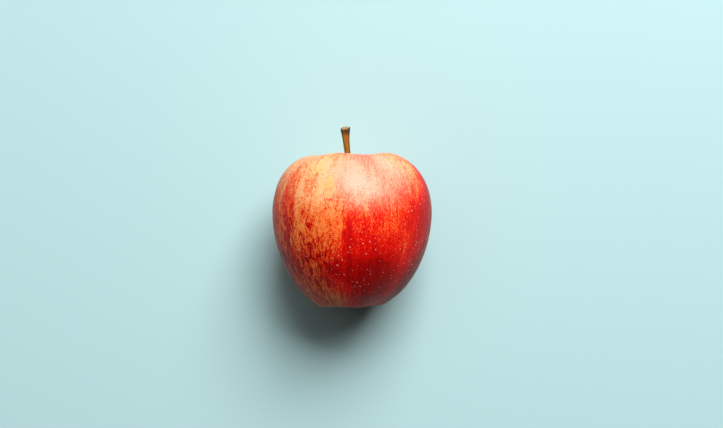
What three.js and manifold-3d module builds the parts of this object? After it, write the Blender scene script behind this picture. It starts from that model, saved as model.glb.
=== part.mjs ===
// A ripe dessert apple lying on its cheek: the fruit, its stem, and the dried flower parts in its eye.
// Millimetres, +Z up. The line from the eye to the stem runs along +Y, and the fruit rests on z = 0
// with the centre of its small resting spot at the origin.
import * as THREE from "three";
import { mergeVertices } from "three/addons/utils/BufferGeometryUtils.js";
import Module from "manifold-3d";

// Driving dimensions. Stations along the fruit are counted from the middle of the body, stem side up.
const cheekRadius = 37.3;
const cheekAt = 7;
const shoulder = { radius: 19.5, at: 34.8 }; // crest round the stem cavity
const crown = { radius: 13.5, at: -35.1 }; // crest round the calyx basin
const cavityFloorAt = 22.3;
const eye = { mouthRadius: 3, ledgeRadius: 4.9, mouthAt: -28.6, floorAt: -24.6 };

const ribCount = 5;
const ribDepth = { cheek: 0.1, shoulder: 0.25, crown: 0.4 }; // half the swing of a rib, outwards
const ribLift = { shoulder: 0.75, crown: 0.4 }; // half the swing of a crest, lengthways
const crestLean = { shoulder: 0.7, crown: 0.45 }; // how far each crest leans towards +Y on its +X side
const ribTurn = { shoulder: -22, crown: 11 }; // degrees from straight up to the first rib
const crestWidth = 9; // how far a crest's swing reaches to either side
const lowCheek = { drop: 4, narrowness: 4 }; // the underside is fullest nearer the eye, and balances there
const restAt = 3.2; // station of the resting spot
const restDepth = 0.7; // how much of the round cheek the resting spot takes off

const stem = { length: 27.4, radius: 1.38, footRadius: 1.75, tipRadius: 2.05, lean: -4.3, rise: 0.8 };
const socket = { radius: 2.45, depth: 1.5 };
const gap = 0.3; // between pieces that grew together

const sepal = { count: 5, length: 6, width: 3.8, thickness: 0.4, bendRadius: 3.4, ringRadius: 3.85 };
const stamen = { count: 10, ringRadius: 1.75, long: 4.4, short: 3.2, filament: 0.2, anther: 0.36 };
const style = { length: 4.6, footRadius: 0.62, radius: 0.36, tipRadius: 0.5 };

const wasm = await Module();
wasm.setup();

// A closed mesh as a solid: only positions, shared corners merged, faces that shrank to nothing dropped.
function solidOf(geometry) {
  const bare = geometry.clone();
  bare.deleteAttribute("normal");
  bare.deleteAttribute("uv");
  const merged = mergeVertices(bare, 1e-4);
  const corners = merged.index.array;
  const kept = [];
  for (let i = 0; i < corners.length; i += 3) {
    const [a, b, c] = [corners[i], corners[i + 1], corners[i + 2]];
    if (a !== b && b !== c && c !== a) kept.push(a, b, c);
  }
  return new wasm.Manifold(
    new wasm.Mesh({
      numProp: 3,
      vertProperties: new Float32Array(merged.attributes.position.array),
      triVerts: new Uint32Array(kept),
    }),
  );
}

function geometryOf(solid) {
  const mesh = solid.getMesh();
  const geometry = new THREE.BufferGeometry();
  geometry.setAttribute("position", new THREE.BufferAttribute(mesh.vertProperties, 3));
  geometry.setIndex(new THREE.BufferAttribute(mesh.triVerts, 1));
  geometry.computeVertexNormals();
  return geometry;
}

// Moves every corner of a geometry by a rule that takes and changes one point.
function reshape(geometry, rule) {
  const place = geometry.attributes.position;
  const point = new THREE.Vector3();
  for (let i = 0; i < place.count; i++) {
    point.fromBufferAttribute(place, i);
    rule(point);
    place.setXYZ(i, point.x, point.y, point.z);
  }
  return geometry;
}

// A smooth outline through a few points, as radius and station, ending exactly on the axis.
function outlineThrough(points, steps) {
  const knots = points.map(([radius, at]) => new THREE.Vector3(radius, at, 0));
  const outline = new THREE.CatmullRomCurve3(knots, false, "centripetal");
  const spaced = outline.getSpacedPoints(steps);
  spaced[0].x = 0;
  spaced[steps].x = 0;
  return spaced;
}

// The meridian from the floor of the eye, over the crown, cheek and shoulder, to the cavity floor.
function fruitOutline() {
  return outlineThrough(
    [
      [0, eye.floorAt],
      [1.9, eye.floorAt - 0.6],
      [eye.mouthRadius, eye.mouthAt],
      [eye.ledgeRadius, eye.mouthAt - 0.4],
      [8.4, -32.4],
      [crown.radius, crown.at],
      [19.2, -31.9],
      [24.8, -26.7],
      [30.9, -17.7],
      [35.3, -6.4],
      [cheekRadius, cheekAt],
      [36.3, 17],
      [33.1, 25.2],
      [27.2, 31.7],
      [shoulder.radius, shoulder.at],
      [11.6, 32.6],
      [5.8, 27],
      [2.9, 23.6],
      [0, cavityFloorAt],
    ],
    40,
  );
}

// Five soft ribs run from crown to shoulder: strongest at the crown, faint on the cheek.
function addRibs(point) {
  const radius = Math.hypot(point.x, point.z);
  const along = THREE.MathUtils.inverseLerp(crown.at, shoulder.at, point.y);
  const turn = THREE.MathUtils.lerp(ribTurn.crown, ribTurn.shoulder, THREE.MathUtils.clamp(along, 0, 1));
  const angle = Math.atan2(point.x, point.z) - THREE.MathUtils.degToRad(turn);
  const wave = Math.cos(ribCount * angle);

  const nearShoulder = THREE.MathUtils.smoothstep(along, 0.55, 1);
  const nearCrown = 1 - THREE.MathUtils.smoothstep(along, 0, 0.55);
  const depth = ribDepth.cheek + ribDepth.shoulder * nearShoulder + ribDepth.crown * nearCrown;
  const outwards = depth * wave * Math.min(1, radius / crown.radius) ** 2;
  if (radius > 0) {
    point.x *= 1 + outwards / radius;
    point.z *= 1 + outwards / radius;
  }
  const atShoulder = along > 0.5;
  const end = atShoulder ? shoulder : crown;
  const lift = atShoulder ? ribLift.shoulder : -ribLift.crown;
  const tip = atShoulder ? crestLean.shoulder : crestLean.crown;
  const reach = Math.exp(-(((radius - end.radius) / crestWidth) ** 2));
  const share = reach * (atShoulder ? nearShoulder : nearCrown) * Math.min(1, radius / end.radius);
  point.y += share * (lift * wave + (tip * point.x) / end.radius);
}

// The side that the fruit lies on carries its fullest ring lower than the rest of the fruit does.
function dropLowCheek(point) {
  const downwards = (1 - point.z / Math.max(0.001, Math.hypot(point.x, point.z))) / 2;
  const along = THREE.MathUtils.inverseLerp(crown.at, shoulder.at, point.y);
  const middle = Math.sin(Math.PI * THREE.MathUtils.clamp(along, 0, 1));
  const outer = THREE.MathUtils.smoothstep(Math.hypot(point.x, point.z), shoulder.radius, cheekRadius);
  point.y -= lowCheek.drop * downwards ** lowCheek.narrowness * middle * outer;
}

function makeFruit() {
  const body = reshape(new THREE.LatheGeometry(fruitOutline(), 60), addRibs);
  reshape(body, dropLowCheek);
  body.translate(0, -restAt, 0);
  body.computeBoundingBox();
  const lowest = body.boundingBox.min.z;
  body.translate(0, 0, -lowest - restDepth);
  const axisHeight = -lowest - restDepth;
  const side = 4 * cheekRadius;
  const ground = new THREE.BoxGeometry(side, side, side).translate(0, 0, -side / 2);
  const reach = 4 * socket.depth; // past the cavity floor, so that the pit opens cleanly
  const pit = new THREE.CylinderGeometry(socket.radius, socket.radius, reach, 24);
  pit.translate(0, cavityFloorAt - restAt - socket.depth + reach / 2, axisHeight);
  const solid = solidOf(body).subtract(solidOf(ground)).subtract(solidOf(pit));
  return { geometry: geometryOf(solid), axisHeight };
}

// The stalk: swollen where it leaves the fruit, flared and a little dished where it broke off.
function makeStem() {
  const { length, radius, footRadius, tipRadius, lean, rise } = stem;
  const outline = outlineThrough(
    [
      [0, 0],
      [footRadius * 0.8, 0.1],
      [footRadius, 1],
      [radius * 1.1, 5],
      [radius, length * 0.5],
      [radius * 1.05, length - 5],
      [tipRadius, length - 0.7],
      [tipRadius * 0.85, length],
      [0, length - 0.25],
    ],
    24,
  );
  // It leans off the axis at once and straightens towards its tip.
  const bend = (point) => {
    const left = 1 - THREE.MathUtils.clamp(point.y / length, 0, 1);
    const away = 1 - left ** 1.6;
    point.x += lean * away;
    point.z += rise * away;
  };
  return reshape(new THREE.LatheGeometry(outline, 16), bend);
}

// One dried sepal: a tapering blade that stands at the eye's mouth and curls outwards, along -Y.
function makeSepal(curl) {
  const { length, width, thickness, bendRadius } = sepal;
  const blade = new THREE.BoxGeometry(width, length, thickness, 4, 8, 1).translate(0, length / 2, 0);
  return reshape(blade, (point) => {
    const share = THREE.MathUtils.clamp(point.y / length, 0, 1);
    const taper = 0.12 + 0.88 * (1 - share) ** 0.75;
    const angle = -0.25 + share * curl;
    const cup = 0.1 * point.x * point.x;
    const reach = bendRadius + point.z - cup * (1 - share);
    point.x *= taper;
    point.y = -reach * Math.sin(angle) - 0.7;
    point.z = bendRadius - reach * Math.cos(angle);
  });
}

// One withered stamen: a thread with a shrunken anther, pointing along -Y.
function makeStamen(length) {
  const { filament, anther } = stamen;
  const outline = outlineThrough(
    [
      [0, -length],
      [anther * 0.8, -length + 0.2],
      [anther, -length + 0.55],
      [filament, -length + 1.15],
      [filament, -length * 0.4],
      [filament * 1.1, -0.05],
      [0, 0],
    ],
    14,
  );
  return new THREE.LatheGeometry(outline, 8);
}

function makeStyleColumn() {
  const { length, footRadius, radius, tipRadius } = style;
  const outline = outlineThrough(
    [
      [0, -length],
      [tipRadius, -length + 0.3],
      [radius, -length + 1],
      [radius, -length * 0.5],
      [footRadius, -0.1],
      [0, 0],
    ],
    14,
  );
  return new THREE.LatheGeometry(outline, 10);
}

const skin = new THREE.MeshStandardMaterial({ color: 0xd8402a, roughness: 0.35, metalness: 0 });
const bark = new THREE.MeshStandardMaterial({ color: 0x9a6426, roughness: 0.7, metalness: 0 });
const driedLeaf = new THREE.MeshStandardMaterial({ color: 0x6b5232, roughness: 0.9, metalness: 0 });
const driedThread = new THREE.MeshStandardMaterial({ color: 0x4a3420, roughness: 0.9, metalness: 0 });

function addMesh(parent, name, geometry, material) {
  const mesh = new THREE.Mesh(geometry, material);
  mesh.name = name;
  parent.add(mesh);
  return mesh;
}

const apple = new THREE.Group();
const { geometry: fruitGeometry, axisHeight } = makeFruit();
addMesh(apple, "fruit", fruitGeometry, skin);

// Everything that grows on the fruit's own axis hangs in this group, whose y is the body's station.
const axis = new THREE.Group();
axis.position.set(0, -restAt, axisHeight);
apple.add(axis);

const stalk = addMesh(axis, "stem", makeStem(), bark);
stalk.position.y = cavityFloorAt - socket.depth + gap;

for (let i = 0; i < sepal.count; i++) {
  const spoke = new THREE.Group();
  spoke.rotation.y = (2 * Math.PI * (i + 0.5)) / sepal.count;
  axis.add(spoke);
  const leaf = addMesh(spoke, `sepal_${i + 1}`, makeSepal(1.25 + 0.12 * (i % 3)), driedLeaf);
  leaf.position.set(0, eye.mouthAt - 0.5 - gap, sepal.ringRadius);
}

for (let i = 0; i < stamen.count; i++) {
  const spoke = new THREE.Group();
  spoke.rotation.y = (2 * Math.PI * i) / stamen.count;
  axis.add(spoke);
  const thread = addMesh(spoke, `stamen_${i + 1}`, makeStamen(i % 2 ? stamen.short : stamen.long), driedThread);
  thread.position.set(0, eye.floorAt - 1.6, stamen.ringRadius);
  thread.rotation.x = THREE.MathUtils.degToRad(4);
}

const column = addMesh(axis, "style_column", makeStyleColumn(), driedThread);
column.position.y = eye.floorAt - gap;

export default apple;
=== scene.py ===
import math
import bmesh
import bpy
from mathutils import Matrix, Vector, noise
from mathutils.geometry import interpolate_bezier


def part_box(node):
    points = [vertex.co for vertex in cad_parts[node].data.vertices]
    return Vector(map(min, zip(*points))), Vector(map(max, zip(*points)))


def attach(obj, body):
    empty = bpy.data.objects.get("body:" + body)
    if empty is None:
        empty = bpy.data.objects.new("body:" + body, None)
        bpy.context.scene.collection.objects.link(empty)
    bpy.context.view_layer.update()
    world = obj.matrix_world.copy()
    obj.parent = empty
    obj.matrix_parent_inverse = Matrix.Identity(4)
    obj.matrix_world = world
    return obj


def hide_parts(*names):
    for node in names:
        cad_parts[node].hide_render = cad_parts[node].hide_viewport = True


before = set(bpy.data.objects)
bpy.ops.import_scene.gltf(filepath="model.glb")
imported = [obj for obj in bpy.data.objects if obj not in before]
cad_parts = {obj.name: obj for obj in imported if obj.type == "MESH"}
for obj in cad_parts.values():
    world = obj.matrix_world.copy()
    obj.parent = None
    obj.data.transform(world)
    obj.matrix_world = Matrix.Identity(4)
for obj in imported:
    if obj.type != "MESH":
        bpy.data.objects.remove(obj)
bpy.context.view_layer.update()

fruitLow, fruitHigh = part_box("fruit")
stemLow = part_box("stem")[0]
styleLow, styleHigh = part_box("style_column")
mm = 0.001
cheek = (fruitHigh.x - fruitLow.x) / 2                      # radius of the widest ring
axisZ = (styleLow.z + styleHigh.z) / 2                      # height of the line from eye to stem
midY = (fruitLow.y + fruitHigh.y) / 2                       # halfway along the body
bodyCentre = Vector((0, midY, axisZ))
weld = 1e-6                                                 # corners closer than this become one


def smooth(low, high, value):
    t = min(1.0, max(0.0, (value - low) / (high - low)))
    return t * t * (3 - 2 * t)


# a smooth line through a few points, with each handle along the line between its neighbours
def smoothLine(points, steps):
    knots = [Vector((p[0], p[1], 0)) for p in points]
    handles = []
    for i, knot in enumerate(knots):
        before, after = knots[max(0, i - 1)], knots[min(len(knots) - 1, i + 1)]
        way = (after - before).normalized()
        handles.append((knot - way * (knot - before).length / 3, knot + way * (after - knot).length / 3))
    line = [knots[0]]
    for i in range(len(knots) - 1):
        line += interpolate_bezier(knots[i], handles[i][1], handles[i + 1][0], knots[i + 1], steps + 1)[1:]
    return line


# turns a chain of points round an axis through the origin
def spinChain(bm, points, axis, turns):
    verts = [bm.verts.new(p) for p in points]
    edges = [bm.edges.new((verts[i], verts[i + 1])) for i in range(len(verts) - 1)]
    bmesh.ops.spin(bm, geom=verts + edges, cent=(0, 0, 0), axis=axis, angle=2 * math.pi,
                   steps=turns, use_merge=True, use_duplicate=False)
    bmesh.ops.remove_doubles(bm, verts=bm.verts, dist=weld)


# a closed round shape: the line, in radius and length, turned about Y
def spinLine(bm, line, turns):
    spinChain(bm, [(max(0, p[0]), p[1], 0) for p in line], (0, 1, 0), turns)
    bmesh.ops.recalc_face_normals(bm, faces=bm.faces)


def addObject(bm, name, material):
    mesh = bpy.data.meshes.new(name)
    bm.to_mesh(mesh)
    bm.free()
    for face in mesh.polygons:
        face.use_smooth = True
    made = bpy.data.objects.new(name, mesh)
    bpy.context.scene.collection.objects.link(made)
    made.data.materials.append(material)
    return made


def keepPiece(bm, name, node, material):
    piece = addObject(bm, name, material)
    finer = piece.modifiers.new("Finer", "SUBSURF")
    finer.levels = finer.render_levels = 1
    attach(piece, "root")
    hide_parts(node)


def newMaterial(name):
    material = bpy.data.materials.new(name)
    material.use_nodes = True
    material.node_tree.nodes.clear()
    return material, material.node_tree


# adds a node; each socket takes a plain value or another node's output
def add(tree, kind, sockets=None, **settings):
    node = tree.nodes.new(kind)
    for key, value in settings.items():
        setattr(node, key, value)
    for key, value in (sockets or {}).items():
        if isinstance(value, bpy.types.NodeSocket):
            tree.links.new(value, node.inputs[key])
        else:
            node.inputs[key].default_value = value
    return node


def sums(tree, operation, *values, clamp=False):
    node = add(tree, "ShaderNodeMath", dict(enumerate(values)), operation=operation, use_clamp=clamp)
    return node.outputs[0]


def vectors(tree, operation, first, second):
    return add(tree, "ShaderNodeVectorMath", {0: first, 1: second}, operation=operation).outputs[0]


# low at start, high at end, with soft ends; start may be above end
def ease(tree, value, start, end, low=0.0, high=1.0):
    node = add(tree, "ShaderNodeMapRange",
               {"Value": value, "From Min": start, "From Max": end, "To Min": low, "To Max": high},
               interpolation_type="SMOOTHSTEP")
    return node.outputs["Result"]


def mixed(tree, factor, first, second):
    node = add(tree, "ShaderNodeMix", {0: factor, 6: first, 7: second}, data_type="RGBA")
    return node.outputs[2]


def noisy(tree, vector, scale, detail, rough, distortion=0.0):
    node = add(tree, "ShaderNodeTexNoise", {"Vector": vector, "Scale": scale, "Detail": detail,
                                            "Roughness": rough, "Distortion": distortion})
    return node.outputs["Fac"]


def dots(tree, vector, scale):
    return add(tree, "ShaderNodeTexVoronoi", {"Vector": vector, "Scale": scale}).outputs["Distance"]


def bumped(tree, height, strength, distance, before=None):
    sockets = {"Height": height, "Strength": strength, "Distance": distance}
    if before:
        sockets["Normal"] = before
    return add(tree, "ShaderNodeBump", sockets).outputs["Normal"]


def finishWith(tree, shader):
    add(tree, "ShaderNodeOutputMaterial", {"Surface": shader.outputs[0]})


# the camera is straight above the fruit and a little turned, as in a flat lay
view = {
    "lens": 50,
    "sensor": 36,
    "height": 507.6 * mm,
    "offset": (4.35 * mm, 4.45 * mm),       # of the picture's middle from the resting spot
    "turn": 1.5,                             # degrees, anticlockwise
    "nearest": 0.01,
}

camera = bpy.data.objects.new("Camera", bpy.data.cameras.new("Camera"))
camera.data.lens = view["lens"]
camera.data.sensor_width = view["sensor"]
camera.data.clip_start = view["nearest"]
viewTurn = math.radians(view["turn"])
camera.rotation_euler = (0, 0, viewTurn)
camera.location = Matrix.Rotation(viewTurn, 3, "Z") @ Vector((*view["offset"], view["height"]))
bpy.context.scene.collection.objects.link(camera)
bpy.context.scene.camera = camera
bpy.context.scene.view_settings.view_transform = "Standard"
print("camera ready")


# lengths here are in metres, angles in degrees
studio = {
    "floor": (0.36, 0.54, 0.55, 1),
    "air": (0.90, 0.96, 1.0, 1),
    "airStrength": 0.01,
    "farFloor": (0.27, 0.40, 0.41, 1),
    "floorRadius": 2.8,
    "wallHeight": 1.2,
    "fade": (0.3, 1.2),          # where the floor's colour starts and stops turning to farFloor
    "sweep": 0.7,                # radius of the curve from the floor up into the wall
    "sweepSteps": 8,
    "turns": 96,
    "window": {"side": 1.24, "away": 2.0, "elevation": 48, "azimuth": 20, "power": 78},
    "reflector": {"side": 1.6, "away": 2.0, "elevation": 62, "azimuth": -35, "power": 7},
}


# a round pale sheet whose edge curves up into a low wall
def makeFloor():
    material, tree = newMaterial("paleSheet")
    place = add(tree, "ShaderNodeTexCoord").outputs["Object"]
    weave = noisy(tree, place, 900.0, 3.0, 0.6)
    away = add(tree, "ShaderNodeVectorMath", {0: place}, operation="LENGTH").outputs["Value"]
    colour = mixed(tree, ease(tree, away, *studio["fade"]), studio["floor"], studio["farFloor"])
    shader = add(tree, "ShaderNodeBsdfPrincipled", {
        "Base Color": colour, "Roughness": 0.6, "Normal": bumped(tree, weave, 0.08, 0.05 * mm)})
    finishWith(tree, shader)
    wide, curve, steps = studio["floorRadius"], studio["sweep"], studio["sweepSteps"]
    line = [(0, 0, 0), (wide, 0, 0)]
    for i in range(1, steps + 1):
        angle = math.pi / 2 * i / steps
        line.append((wide + curve * math.sin(angle), 0, curve * (1 - math.cos(angle))))
    line.append((wide + curve, 0, studio["wallHeight"]))
    bm = bmesh.new()
    spinChain(bm, line, (0, 0, 1), studio["turns"])
    floor = addObject(bm, "floor", material)


def makeLight(name, place):
    light = bpy.data.objects.new(name, bpy.data.lights.new(name, "AREA"))
    light.data.shape = "SQUARE"
    light.data.size = place["side"]
    light.data.energy = place["power"]
    up, turned = math.radians(place["elevation"]), math.radians(place["azimuth"])
    way = Vector((math.sin(turned) * math.cos(up), math.cos(turned) * math.cos(up), math.sin(up)))
    light.location = bodyCentre + way * place["away"]
    light.rotation_euler = way.to_track_quat("Z", "Y").to_euler()
    bpy.context.scene.collection.objects.link(light)


world = bpy.data.worlds.new("studio")
world.use_nodes = True
air = world.node_tree.nodes["Background"].inputs
air["Color"].default_value = studio["air"]
air["Strength"].default_value = studio["airStrength"]
bpy.context.scene.world = world
makeFloor()
makeLight("window", studio["window"])
makeLight("reflector", studio["reflector"])
print("studio ready")


skin = {
    "yellow": (0.83, 0.45, 0.21, 1),
    "peach": (0.84, 0.205, 0.052, 1),
    "scarlet": (0.78, 0.050, 0.010, 1),
    "red": (0.66, 0.003, 0.001, 1),
    "maroon": (0.23, 0.001, 0.001, 1),
    "gold": (0.82, 0.43, 0.12, 1),
    "amber": (0.84, 0.20, 0.025, 1),
    "speck": (0.40, 0.07, 0.025, 1),
    "paintedHighlight": (0.80, 0.36, 0.26, 1),
    "olive": (0.40, 0.14, 0.02, 1),
    "russet": (0.30, 0.17, 0.055, 1),
    "green": (0.55, 0.46, 0.11, 1),
    "lenticel": (0.94, 0.54, 0.38, 1),
    "sun": 50,                   # degrees from straight up of the reddest side
    "redness": (0.42, 0.25),     # middling, and how much the sunny side adds
    "mottle": (("streaks", 0.9), ("flecks", 1.0), ("dashes", 0.7), ("grain", 1.2)),
    "lenticels": ((360, 0.12, 0.85), (560, 0.13, 0.7)),  # how closely set, size, strength
    "greenReach": (17, 9),       # round the stem, mm from the axis: where it starts and is full
    "russetReach": (10, 4.5),
    "oliveReach": (12, 5),       # round the eye
    "tubeReach": (3.6, 2.4),
    "roughness": (0.34, 0.54),
}

# streaky patterns: spread round the fruit, spread along it, detail, roughness, distortion
streakPatterns = {
    "broad": (7, 30, 4, 0.6, 0),
    "streaks": (18, 90, 5, 0.65, 0),
    "flecks": (64, 760, 3, 0.6, 0),
    "dashes": (110, 700, 3, 0.6, 0),
    "blotches": (22, 200, 5, 0.75, 0.8),
    "wax": (20, 200, 4, 0.6, 0),
}

# even patterns: scale, detail, roughness
finePatterns = {
    "grain": (2300, 2, 0.6),
    "specks": (1300, 2, 0.5),
    "ripple": (420, 3, 0.5),
}

# patches of more or less red: degrees from straight up, station mm, half width degrees, half length mm,
# softness, amount
patches = [
    # painted highlight: the upper shoulder is made less red where the lamp's highlight falls
    (17, 27, 36, 14, 0.5, -0.28),
    (-38, 34, 30, 8, 0.5, -0.20),
    (48, 34, 26, 7, 0.5, -0.18),
    (-28, 6, 18, 24, 0.35, -0.01),
    (-32, 19, 16, 11, 0.5, -0.16),
    (-15, -1, 7, 13, 0.5, -0.08),
    (-19, 23, 7, 7, 0.5, -0.10),
    # painted highlight: this patch and the next two paint pale streaks and a whiter spot into the highlight
    (8.5, 15, 1.3, 8, 0.7, -0.13),
    (4, 14, 1.2, 5, 0.7, -0.09),
    (1, 22, 8, 6, 0.7, -0.07),
    (-52, 4, 8, 23, 0.5, 0.16),
    (-52, 1, 3, 10, 0.6, 0.32),
    (-46, 10, 2.5, 6, 0.6, 0.12),
    (-57, 14, 2.5, 6, 0.6, 0.10),
    # painted shade on the left rim: redder and darker where the skin turns away
    (-75, -9, 15, 25, 0.6, 0.40),
    (-40, -20, 28, 14, 0.5, 0.14),
    (-47, -11, 12, 10, 0.6, 0.06),
    (-15, -16, 7, 10, 0.6, 0.12),
    (-37, 6, 2.5, 6, 0.6, 0.15),
    (-29, 4, 2.5, 8, 0.6, 0.12),
    (-33, -12, 5, 7, 0.6, 0.10),
    (-25, -11, 4, 6, 0.6, 0.10),
    (-15.5, 14, 2, 2, 0.5, 0.32),
    (17, -2, 26, 16, 0.25, 0.08),
    (-2, -5, 4, 12, 0.5, 0.11),
    (10, 7, 6, 5, 0.6, -0.08),
    (36, 4, 7, 9, 0.6, -0.04),
    (41, -6, 3, 8, 0.6, -0.07),
    (52, 8, 7, 18, 0.5, 0.06),
    # painted shade on the right rim: darker crimson where the skin turns away
    (80, 0, 24, 34, 0.6, 0.24),
    # darker across the half towards the eye: partly the skin's own colour, partly painted shade
    (16, -22, 28, 10, 0.6, 0.27),
    (-31, -18, 4, 4, 0.6, -0.14),
    (-23, 11, 8, 7, 0.6, -0.10),
    (26, 5, 12, 8, 0.6, -0.10),
    (56, 24, 10, 9, 0.6, -0.15),
    (-18, -28, 18, 7, 0.6, -0.20),
    (66, -20, 12, 12, 0.6, 0.14),
    (-11, 12, 7, 7, 0.6, -0.10),
    # painted shade: this patch and the next make the top edge redder and darker, as if less lit
    (4, 36, 30, 6, 0.5, 0.09),
    (10, 31, 12, 4, 0.6, 0.10),
    (28, 22, 14, 7, 0.6, 0.06),
    (10, -6, 14, 10, 0.6, 0.04),
    (115, 0, 14, 26, 0.9, 0.12),
    (148, 5, 8, 18, 0.9, 0.16),
    (-104, 4, 9, 20, 0.9, 0.16),
    (-135, -6, 7, 16, 0.9, 0.16),
]

goldSpots = [(-17, 20.5, 4.5, 3.4, 0.6), (-29, 27, 4, 2.2, 0.6)]
# where the painted highlight lies on the upper shoulder: degrees, station, half width, half length,
# softness
highlightPatch = (14, 25, 32, 13, 0.5)
blotched = (-44, -14, 30, 22, 0.4)     # where dark red blotches stand on the yellow
swaying = {"around": 9, "along": 170, "detail": 5, "roughness": 0.65, "reach": (0.28, 0.36, 0.28)}


def skinMaterial():
    material, tree = newMaterial("appleSkin")
    place = add(tree, "ShaderNodeTexCoord").outputs["Object"]
    place = add(tree, "ShaderNodeMapping", {"Vector": place, "Location": -bodyCentre}).outputs[0]
    axes = add(tree, "ShaderNodeSeparateXYZ", {0: place}).outputs
    station = axes["Y"]
    flat = add(tree, "ShaderNodeCombineXYZ", {"X": axes["X"], "Z": axes["Z"]}).outputs[0]
    outwards = add(tree, "ShaderNodeVectorMath", {0: flat}, operation="NORMALIZE").outputs[0]
    radius = add(tree, "ShaderNodeVectorMath", {0: flat}, operation="LENGTH").outputs["Value"]

    # skin coordinates: round the fruit by direction, along it by station, so that streaks run lengthways
    def streaky(around, along):
        spread = add(tree, "ShaderNodeVectorMath", {0: outwards, "Scale": around}, operation="SCALE")
        length = add(tree, "ShaderNodeCombineXYZ", {"Y": sums(tree, "MULTIPLY", station, along)})
        return vectors(tree, "ADD", spread.outputs[0], length.outputs[0])

    pattern = {}
    for name, (around, along, detail, rough, distortion) in streakPatterns.items():
        pattern[name] = noisy(tree, streaky(around, along), 1.0, detail, rough, distortion)
    for name, (scale, detail, rough) in finePatterns.items():
        pattern[name] = noisy(tree, place, scale, detail, rough)

    # the patches sway a little from place to place, so no edge runs straight
    sway = add(tree, "ShaderNodeTexNoise", {
        "Vector": streaky(swaying["around"], swaying["along"]), "Scale": 1.0,
        "Detail": swaying["detail"], "Roughness": swaying["roughness"]}).outputs["Color"]
    sway = vectors(tree, "SUBTRACT", sway, (0.5, 0.5, 0.5))
    sway = vectors(tree, "MULTIPLY", sway, swaying["reach"])
    onSkin = vectors(tree, "ADD", streaky(1.0, 1 / cheek), sway)

    def patch(angle, at, halfWidth, halfLength, softness):
        angle, wide, long = math.radians(angle), math.radians(halfWidth), halfLength * mm / cheek
        away = vectors(tree, "SUBTRACT", onSkin, (math.sin(angle), at * mm / cheek, math.cos(angle)))
        away = vectors(tree, "DIVIDE", away, (wide, long, wide))
        away = add(tree, "ShaderNodeVectorMath", {0: away}, operation="LENGTH").outputs["Value"]
        return ease(tree, away, 1 + softness, 1 - softness)

    def facing(way):
        node = add(tree, "ShaderNodeVectorMath", {0: outwards, 1: way}, operation="DOT_PRODUCT")
        return node.outputs["Value"]

    # how red: the side to the sun, the patches, then streaks, flecks and grain
    sun = math.radians(skin["sun"])
    sunny = facing((math.sin(sun), 0, math.cos(sun)))
    red = sums(tree, "MULTIPLY_ADD", sunny, skin["redness"][1], skin["redness"][0])
    # redder towards the eye: partly the skin's own colour, partly painted shade on the half that faces away
    # from the lamp
    red = sums(tree, "ADD", red, ease(tree, station, -4 * mm, -24 * mm, 0.0, 0.09))
    for *where, amount in patches:
        red = sums(tree, "MULTIPLY_ADD", patch(*where), amount, red)
    lower = ease(tree, facing((0, 0, 1)), 0.3, -0.3, 0.22, 1.1)      # the broad one is faint on top
    mottle = sums(tree, "MULTIPLY", sums(tree, "SUBTRACT", pattern["broad"], 0.5), lower)
    for name, amount in skin["mottle"]:
        mottle = sums(tree, "MULTIPLY_ADD", sums(tree, "SUBTRACT", pattern[name], 0.5), amount, mottle)
    mottle = sums(tree, "MULTIPLY", mottle, ease(tree, red, 0.40, 0.72, 1.0, 0.45))
    # the painted highlight's mask; the mottle is also made fainter under it
    shoulder = patch(*highlightPatch)
    mottle = sums(tree, "MULTIPLY", mottle, ease(tree, shoulder, 0.0, 1.0, 1.0, 0.5))
    blotches = ease(tree, pattern["blotches"], 0.46, 0.57, -0.12, 0.31)
    mottle = sums(tree, "MULTIPLY_ADD", blotches, patch(*blotched), mottle)
    red = sums(tree, "ADD", red, mottle, clamp=True)

    ramp = add(tree, "ShaderNodeValToRGB", {"Fac": red})
    colours = ramp.color_ramp.elements
    colours[0].position, colours[0].color = 0.12, skin["yellow"]
    colours[1].position, colours[1].color = 0.98, skin["maroon"]
    for at, name in ((0.34, "peach"), (0.54, "scarlet"), (0.70, "red")):
        colours.new(at).color = skin[name]
    colour = ramp.outputs["Color"]

    # more amber from the cheek to the eye
    amber = sums(tree, "MULTIPLY", ease(tree, red, 0.62, 0.38, 0.0, 0.8), ease(tree, station, 18 * mm, 0))
    colour = mixed(tree, amber, colour, skin["amber"])

    # a painted highlight: a pinker cream over the upper shoulder, where the lamp's highlight falls; clear
    # yellow spots beside it, and sparse dark specks
    pale = sums(tree, "MULTIPLY", shoulder, ease(tree, red, 0.62, 0.25, 0.25, 0.85))
    colour = mixed(tree, pale, colour, skin["paintedHighlight"])
    for spot in goldSpots:
        colour = mixed(tree, sums(tree, "MULTIPLY", patch(*spot), 0.6), colour, skin["gold"])
    specks = ease(tree, pattern["specks"], 0.60, 0.70, 0.0, 0.6)
    specked = sums(tree, "MULTIPLY", specks, ease(tree, red, 0.6, 0.4))
    colour = mixed(tree, specked, colour, skin["speck"])

    # deeper towards the eye: partly the skin's own deeper colour, partly painted shade on the half that
    # faces away from the lamp
    deep = ease(tree, station, -6 * mm, -30 * mm, 0.0, 0.16)
    darker = mixed(tree, ease(tree, red, 0.35, 0.6), skin["olive"], skin["maroon"])
    colour = mixed(tree, deep, colour, darker)

    # green and russet round the stem, olive and russet round the eye
    stemSide = ease(tree, station, 0.0, 10 * mm)
    eyeSide = ease(tree, station, -20 * mm, -26 * mm)
    wander = sums(tree, "MULTIPLY_ADD", sums(tree, "SUBTRACT", pattern["streaks"], 0.5), 9 * mm, radius)

    def within(reach, distance, strength, side):
        start, full = skin[reach]
        return sums(tree, "MULTIPLY", ease(tree, distance, start * mm, full * mm, 0.0, strength), side)

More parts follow.
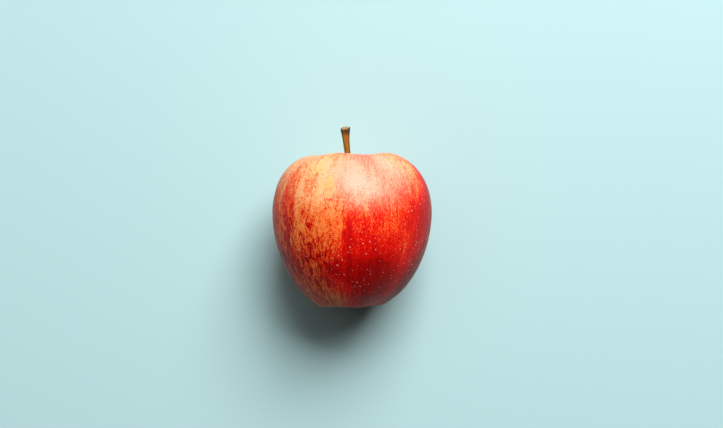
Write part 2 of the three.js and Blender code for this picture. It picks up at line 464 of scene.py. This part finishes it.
    colour = mixed(tree, within("greenReach", wander, 0.8, stemSide), colour, skin["green"])
    russet = within("russetReach", wander, 0.9, stemSide)
    colour = mixed(tree, russet, colour, skin["russet"])
    colour = mixed(tree, within("oliveReach", wander, 0.85, eyeSide), colour, skin["olive"])
    colour = mixed(tree, within("tubeReach", radius, 1.0, eyeSide), colour, skin["russet"])

    # lenticels: small pale dots, plainest on the red
    (bigScale, bigSize, bigStrength), (smallScale, smallSize, smallStrength) = skin["lenticels"]
    bigDots = dots(tree, place, bigScale)
    big = ease(tree, bigDots, bigSize, 0.06, 0.0, bigStrength)
    small = ease(tree, dots(tree, place, smallScale), smallSize, 0.06, 0.0, smallStrength)
    spots = sums(tree, "MAXIMUM", big, small)
    shown = sums(tree, "MULTIPLY", spots, ease(tree, red, 0.42, 0.68, 0.12, 0.9))
    centre = ease(tree, bigDots, 0.05, 0.02, 0.0, 0.5)
    colour = mixed(tree, shown, colour, mixed(tree, centre, skin["lenticel"], skin["russet"]))

    # waxy and a little uneven
    normal = bumped(tree, pattern["ripple"], 0.35, 0.12 * mm)
    normal = bumped(tree, pattern["grain"], 0.25, 0.03 * mm, normal)
    normal = bumped(tree, spots, 0.5, 0.04 * mm, normal)
    roughness = ease(tree, pattern["wax"], 0.2, 0.8, *skin["roughness"])
    roughness = sums(tree, "MULTIPLY_ADD", russet, 0.3, roughness)
    shader = add(tree, "ShaderNodeBsdfPrincipled", {
        "Base Color": colour, "Roughness": roughness, "Normal": normal,
        "IOR": 1.28, "Specular IOR Level": 0.3, "Coat Weight": 0.05, "Coat Roughness": 0.25,
        "Subsurface Weight": 0.05, "Subsurface Radius": (1.0, 0.35, 0.15), "Subsurface Scale": 2.0 * mm})
    finishWith(tree, shader)
    return material


# the fruit is one outline turned round its axis, then ribbed and made a little uneven; lengths in mm
fruit = {
    # radius and station, from the eye's floor over the cheek to the floor of the stem's cavity
    "outline": [
        (0, -24.6), (1.9, -25.2), (3, -28.6), (4.9, -29), (8.4, -32.4), (13.5, -35.1), (19.2, -31.9),
        (24.8, -26.7), (30.9, -17.7), (35.3, -6.4), (37.3, 7), (36.3, 17), (33.1, 25.2), (27.2, 31.7),
        (19.5, 34.8), (11.6, 32.6), (5.8, 27), (2.9, 23.6), (0, 22.3)],
    "stepsEach": 5,
    "turns": 128,
    "cheek": 37.3,
    "crown": (13.5, -35.1),
    "shoulder": (19.5, 34.8),
    "ribs": 5,
    "ribTurn": (11, -22),        # crown, shoulder
    "ribDepth": (0.25, 0.1, 0.25),  # crown, cheek, shoulder
    "ribLift": (0.2, 0.45),      # crown, shoulder
    "crestLean": (0.45, 0.7),    # crown, shoulder
    "crestWidth": 9,
    "lowCheek": (4, 4),          # drop and narrowness
    "lumps": ((24, 0.22), (9, 0.07), (3.5, 0.02)),  # size and depth of slight unevenness
}


def shapeFruit(co):
    crownRadius, crownAt = fruit["crown"]
    shoulderRadius, shoulderAt = fruit["shoulder"]
    radius = math.hypot(co.x, co.z)
    along = (co.y - crownAt) / (shoulderAt - crownAt)
    share = min(1.0, max(0.0, along))
    turn = fruit["ribTurn"][0] + (fruit["ribTurn"][1] - fruit["ribTurn"][0]) * share
    wave = math.cos(fruit["ribs"] * (math.atan2(co.x, co.z) - math.radians(turn)))
    nearShoulder, nearCrown = smooth(0.55, 1, along), 1 - smooth(0, 0.55, along)
    crownDepth, cheekDepth, shoulderDepth = fruit["ribDepth"]
    depth = cheekDepth + shoulderDepth * nearShoulder + crownDepth * nearCrown
    if radius > 0:
        grow = 1 + depth * wave * min(1, radius / crownRadius) ** 2 / radius
        co.x *= grow
        co.z *= grow
    if along > 0.5:
        endRadius, near = shoulderRadius, nearShoulder
        lift, lean = fruit["ribLift"][1], fruit["crestLean"][1]
    else:
        endRadius, near = crownRadius, nearCrown
        lift, lean = -fruit["ribLift"][0], fruit["crestLean"][0]
    reach = math.exp(-((radius - endRadius) / fruit["crestWidth"]) ** 2) * near * min(1, radius / endRadius)
    co.y += reach * (lift * wave + lean * co.x / endRadius)

    radius = max(0.001, math.hypot(co.x, co.z))
    drop, narrowness = fruit["lowCheek"]
    downwards = ((1 - co.z / radius) / 2) ** narrowness
    outer = smooth(shoulderRadius, fruit["cheek"], radius)
    co.y -= drop * downwards * math.sin(math.pi * share) * outer

    way = co.normalized()
    for size, bump in fruit["lumps"]:
        co += way * bump * noise.noise(co / size) * smooth(3, 9, radius)


def makeFruit():
    bm = bmesh.new()
    spinLine(bm, smoothLine(fruit["outline"], fruit["stepsEach"]), fruit["turns"])
    for vert in bm.verts:
        shapeFruit(vert.co)
    bmesh.ops.scale(bm, vec=(mm, mm, mm), verts=bm.verts)
    bmesh.ops.translate(bm, vec=bodyCentre, verts=bm.verts)
    for vert in bm.verts:
        vert.co.z = max(vert.co.z, 0)        # the resting spot
    keepPiece(bm, "appleBody", "fruit", skinMaterial())


makeFruit()
print("fruit ready")


# lengths in mm
stem = {
    "length": 26.9,
    "radius": 1.4,
    "footRadius": 1.8,
    "tipRadius": 2.1,
    "lean": -4.3,
    "rise": 0.8,
    "cut": 0.5,                  # slope of the broken end, so its face shows from above
    "furrows": (7, 0.10),        # how many, and how deep in mm
    "knots": ((9, 40, 0.22), (17.5, 200, 0.18)),  # along, degrees round, height in mm
    "ochre": (0.32, 0.105, 0.003, 1),
    "paintedLitLime": (0.22, 0.17, 0.006, 1),
    "bark": (0.11, 0.034, 0.005, 1),
    "scar": (0.05, 0.020, 0.007, 1),
    "pith": (0.60, 0.38, 0.18, 1),
}


def stalkMaterial(start):
    material, tree = newMaterial("stalk")
    place = add(tree, "ShaderNodeTexCoord").outputs["Object"]
    place = add(tree, "ShaderNodeMapping", {"Vector": place, "Location": -start}).outputs[0]
    axes = add(tree, "ShaderNodeSeparateXYZ", {0: place}).outputs
    cut = add(tree, "ShaderNodeAttribute", attribute_name="cut").outputs["Fac"]
    side = add(tree, "ShaderNodeAttribute", attribute_name="side").outputs["Fac"]
    grain = add(tree, "ShaderNodeMapping", {"Vector": place, "Scale": (2600, 260, 2600)}).outputs[0]
    fibre = noisy(tree, grain, 1.0, 4.0, 0.65)
    blotch = noisy(tree, place, 480.0, 4.0, 0.6)
    colour = mixed(tree, ease(tree, blotch, 0.35, 0.65), stem["ochre"], stem["bark"])
    colour = mixed(tree, ease(tree, fibre, 0.42, 0.62, 0.0, 0.85), stem["ochre"], colour)
    # painted light and shade: the left edge of the stalk is painted lighter lime and the right edge darker
    # bark, by the side attribute
    colour = mixed(tree, ease(tree, side, 0.65, 0.95, 0.0, 0.85), colour, stem["paintedLitLime"])
    colour = mixed(tree, ease(tree, side, 0.3, 0.05, 0.0, 0.8), colour, stem["bark"])
    end = sums(tree, "MULTIPLY_ADD", fibre, 3 * mm, axes["Y"])
    tip = ease(tree, end, (stem["length"] - 3.2) * mm, (stem["length"] - 0.2) * mm, 0.0, 0.95)
    colour = mixed(tree, tip, colour, stem["scar"])
    face = noisy(tree, place, 1600.0, 4.0, 0.65)
    cutFace = mixed(tree, ease(tree, face, 0.38, 0.60), stem["pith"], stem["bark"])
    colour = mixed(tree, cut, colour, cutFace)
    normal = bumped(tree, fibre, 0.7, 0.12 * mm)
    normal = bumped(tree, noisy(tree, place, 1500.0, 3.0, 0.6), 0.5, 0.08 * mm, normal)
    shader = add(tree, "ShaderNodeBsdfPrincipled", {
        "Base Color": colour, "Roughness": ease(tree, fibre, 0.3, 0.7, 0.5, 0.75), "Normal": normal,
        "IOR": 1.4, "Specular IOR Level": 0.25})
    finishWith(tree, shader)
    return material


def makeStem():
    long, thick, foot, tip = stem["length"], stem["radius"], stem["footRadius"], stem["tipRadius"]
    line = [(0, 0), (foot * 0.8, 0.1), (foot, 0.9), (thick * 1.1, 5), (thick, long * 0.55),
            (thick * 1.2, long - 6), (thick * 1.32, long - 3), (tip, long - 1), (tip * 0.98, long - 0.4),
            (tip * 0.8, long - 0.15), (tip * 0.6, long - 0.45), (0, long - 0.8)]
    bm = bmesh.new()
    spinLine(bm, smoothLine(line, 4), 40)
    cut = bm.verts.layers.float.new("cut")
    side = bm.verts.layers.float.new("side")
    count, deep = stem["furrows"]
    for vert in bm.verts:
        co = vert.co
        radius, along = math.hypot(co.x, co.z), co.y / long
        angle = math.atan2(co.x, co.z)
        vert[cut] = smooth(0.85, 0.68, radius / tip) * smooth(long - 1.2, long - 0.6, co.y)
        # side runs from 0 on the right edge to 1 on the left; the stalk material paints light on the left
        # and shade on the right by it
        vert[side] = (1 - math.sin(angle)) / 2
        twist = angle + 1.2 * along
        grow = 1 - deep * (0.5 + 0.5 * math.cos(count * twist)) * smooth(0, 0.7, radius / thick)
        grow += 0.09 * noise.noise(Vector((co.x * 0.5, co.y * 0.22, co.z * 0.5)) + Vector((3, 1, 7)))
        for at, turned, height in stem["knots"]:
            near = math.exp(-((co.y - at) / 0.9) ** 2) * max(0, math.cos(angle - math.radians(turned))) ** 2
            grow += near * height
        co.x *= grow * (1 + 0.1 * smooth(0.75, 1, along))
        co.z *= grow
        # a sloping, slightly ragged break
        nearTip = smooth(long - 4, long - 0.5, co.y)
        co.y -= nearTip * (stem["cut"] * co.z - 0.12 * co.x)
        co.y += 0.25 * nearTip * noise.noise(Vector((co.x, 4, co.z)) * 1.3)
        away = 1 - (1 - min(1, max(0, along))) ** 1.6
        co.x += stem["lean"] * away
        co.z += stem["rise"] * away
    start = Vector((0, stemLow.y, axisZ))
    bmesh.ops.scale(bm, vec=(mm, mm, mm), verts=bm.verts)
    bmesh.ops.translate(bm, vec=start, verts=bm.verts)
    keepPiece(bm, "stalk", "stem", stalkMaterial(start))


makeStem()
print("stem ready")


# the dried remains of the flower in the eye: sepals, stamens and styles; lengths in mm
flower = {
    "sepals": 5,
    "stamens": 10,
    "sepalLength": 6.4,
    "sepalWidth": 3.7,
    "sepalOutline": ((0, 0.72), (0.2, 1.0), (0.45, 0.86), (0.75, 0.42), (1, 0.03)),  # along, share of width
    "sepalThickness": 0.32,
    "sepalLean": -0.25,          # how it starts, in radians from the line of the eye
    "sepalCurl": (1.3, 1.75, 1.1, 1.95, 1.5),  # how far each one rolls outwards by its tip
    "sepalSink": 0.5,            # of the foot into the skin
    "sepalRing": 3.45,           # radius of the ring they stand on
    "sepalMesh": (8, 16),        # faces across and along
    "curlSteps": 24,
    "threadRadius": 0.17,
    "antherRadius": 0.34,
    "stamenSink": 1.3,
    "styleRadius": 0.62,
    "leaf": (0.30, 0.22, 0.11, 1),
    "leafDark": (0.11, 0.06, 0.03, 1),
    "down": (0.48, 0.41, 0.28, 1),
    "thread": (0.16, 0.09, 0.04, 1),
    "anther": (0.30, 0.20, 0.10, 1),
}


def driedMaterial(name, low, high, pale, sheen):
    material, tree = newMaterial(name)
    place = add(tree, "ShaderNodeTexCoord").outputs["Object"]
    along = add(tree, "ShaderNodeAttribute", attribute_name="along").outputs["Fac"]
    blotch = noisy(tree, place, 900.0, 4.0, 0.65)
    fuzz = noisy(tree, place, 5200.0, 3.0, 0.7)
    colour = mixed(tree, ease(tree, blotch, 0.35, 0.65), low, high)
    colour = mixed(tree, ease(tree, along, 0.65, 1.0, 0.0, 0.7), colour, low)
    colour = mixed(tree, ease(tree, fuzz, 0.5, 0.7, 0.0, 0.6), colour, pale)
    normal = bumped(tree, blotch, 0.8, 0.15 * mm)
    normal = bumped(tree, fuzz, 0.5, 0.05 * mm, normal)
    shader = add(tree, "ShaderNodeBsdfPrincipled", {
        "Base Color": colour, "Roughness": ease(tree, blotch, 0.3, 0.7, 0.7, 0.9), "Normal": normal,
        "Sheen Weight": sheen, "Sheen Roughness": 0.5})
    finishWith(tree, shader)
    return material


# the turn that brings a piece round the line from eye to stem to its node, and the node's box
def spokeOf(node):
    low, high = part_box(node)
    middle = (low + high) / 2
    return Matrix.Rotation(math.atan2(middle.x, middle.z - axisZ), 4, "Y"), low, high


def widthAt(share):
    outline = flower["sepalOutline"]
    for (start, first), (end, second) in zip(outline, outline[1:]):
        if share <= end:
            return first + (second - first) * smooth(start, end, share)
    return outline[-1][1]


def makeSepal(number, material):
    spoke, _, high = spokeOf(f"sepal_{number}")
    long, curl, steps = flower["sepalLength"], flower["sepalCurl"][number - 1], flower["curlSteps"]
    facesAcross, facesAlong = flower["sepalMesh"]
    bm = bmesh.new()
    bmesh.ops.create_grid(bm, x_segments=facesAcross, y_segments=facesAlong, size=0.5)
    along = bm.verts.layers.float.new("along")
    for vert in bm.verts:
        across, share = vert.co.x * 2, vert.co.y + 0.5
        vert[along] = share
        half = flower["sepalWidth"] / 2 * widthAt(share)
        rough = noise.noise(Vector((across * 1.5, share * 4, number * 5.3)))
        # rolled along an arc, from the mouth of the eye outwards
        out, down = 0.0, 0.0
        for i in range(steps):
            angle = flower["sepalLean"] + curl * share * (i + 0.5) / steps
            out += math.sin(angle) * long * share / steps
            down += math.cos(angle) * long * share / steps
        angle = flower["sepalLean"] + curl * share
        fold = 0.45 * half * across ** 2 * (1 - 0.5 * share) - 0.12 * math.cos(across * 9)
        fold += 0.35 * rough * share
        vert.co = Vector((across * half * (1 + 0.2 * rough) + 0.5 * share ** 2 * math.sin(number * 2.4),
                          -down - fold * math.sin(angle), out - fold * math.cos(angle)))
    bmesh.ops.recalc_face_normals(bm, faces=bm.faces)
    bmesh.ops.solidify(bm, geom=bm.faces[:], thickness=flower["sepalThickness"])
    bmesh.ops.recalc_face_normals(bm, faces=bm.faces)
    bmesh.ops.scale(bm, vec=(mm, mm, mm), verts=bm.verts)
    foot = (0, high.y + flower["sepalSink"] * mm, flower["sepalRing"] * mm)
    bmesh.ops.translate(bm, vec=foot, verts=bm.verts)
    bmesh.ops.transform(bm, matrix=Matrix.Translation((0, 0, axisZ)) @ spoke, verts=bm.verts)
    keepPiece(bm, f"sepal{number}", f"sepal_{number}", material)


def makeStamen(number, material):
    spoke, low, high = spokeOf(f"stamen_{number}")
    long, sink = (high.y - low.y) / mm, flower["stamenSink"]
    thread, anther = flower["threadRadius"], flower["antherRadius"]
    line = [(0, -sink), (thread * 1.3, -sink + 0.1), (thread * 1.1, 0.5), (thread, long * 0.5),
            (thread * 0.9, long - 1.3), (anther * 0.9, long - 0.95), (anther, long - 0.6),
            (anther * 0.8, long - 0.2), (0, long)]
    bm = bmesh.new()
    spinLine(bm, smoothLine(line, 2), 12)
    along = bm.verts.layers.float.new("along")
    for vert in bm.verts:
        co = vert.co
        share = max(0, co.y) / long
        vert[along] = 1 - smooth(0.6, 0.8, share)
        pinch = 1 - 0.35 * smooth(long - 1.3, long - 0.9, co.y) * abs(math.cos(math.atan2(co.x, co.z)))
        co.x *= pinch
        bend = noise.noise_vector(Vector((number * 3.7, share * 1.6, 0.5)))
        co.x += 0.75 * bend.x * share
        co.z += 0.55 * bend.z * share + 0.35 * (1 - smooth(-sink, 0.4, co.y)) + 0.3 * share
        co.y = -co.y
    bmesh.ops.recalc_face_normals(bm, faces=bm.faces)
    middle = (low + high) / 2
    ring = math.hypot(middle.x, middle.z - axisZ)
    bmesh.ops.scale(bm, vec=(mm, mm, mm), verts=bm.verts)
    bmesh.ops.translate(bm, vec=(0, high.y, ring), verts=bm.verts)
    bmesh.ops.transform(bm, matrix=Matrix.Translation((0, 0, axisZ)) @ spoke, verts=bm.verts)
    keepPiece(bm, f"stamen{number}", f"stamen_{number}", material)


# five styles grown together at the foot, parting a little at the tip
def makeStyles(material):
    long, wide = (styleHigh.y - styleLow.y) / mm, flower["styleRadius"]
    line = [(0, -0.6), (wide * 1.2, -0.5), (wide, 0.3), (wide * 0.7, long * 0.4), (wide * 0.6, long * 0.7),
            (wide * 0.85, long * 0.93), (wide * 0.7, long), (0, long - 0.35)]
    bm = bmesh.new()
    spinLine(bm, smoothLine(line, 4), 40)
    along = bm.verts.layers.float.new("along")
    for vert in bm.verts:
        co = vert.co
        share = max(0, co.y) / long
        vert[along] = 1 - smooth(0.7, 0.95, share)
        lobes = 1 + (0.12 + 0.22 * share) * math.cos(5 * math.atan2(co.x, co.z))
        co.x = co.x * lobes + 0.2 * share ** 2
        co.z = co.z * lobes - 0.15 * share ** 2
        co.y = -co.y
    bmesh.ops.recalc_face_normals(bm, faces=bm.faces)
    bmesh.ops.scale(bm, vec=(mm, mm, mm), verts=bm.verts)
    bmesh.ops.translate(bm, vec=(0, styleHigh.y, axisZ), verts=bm.verts)
    keepPiece(bm, "styles", "style_column", material)


sepalSkin = driedMaterial("driedSepal", flower["leafDark"], flower["leaf"], flower["down"], 0.3)
threadSkin = driedMaterial("driedThread", flower["thread"], flower["anther"], flower["leaf"], 0.1)
for number in range(1, flower["sepals"] + 1):
    makeSepal(number, sepalSkin)
for number in range(1, flower["stamens"] + 1):
    makeStamen(number, threadSkin)
makeStyles(threadSkin)
print("flower remains ready")
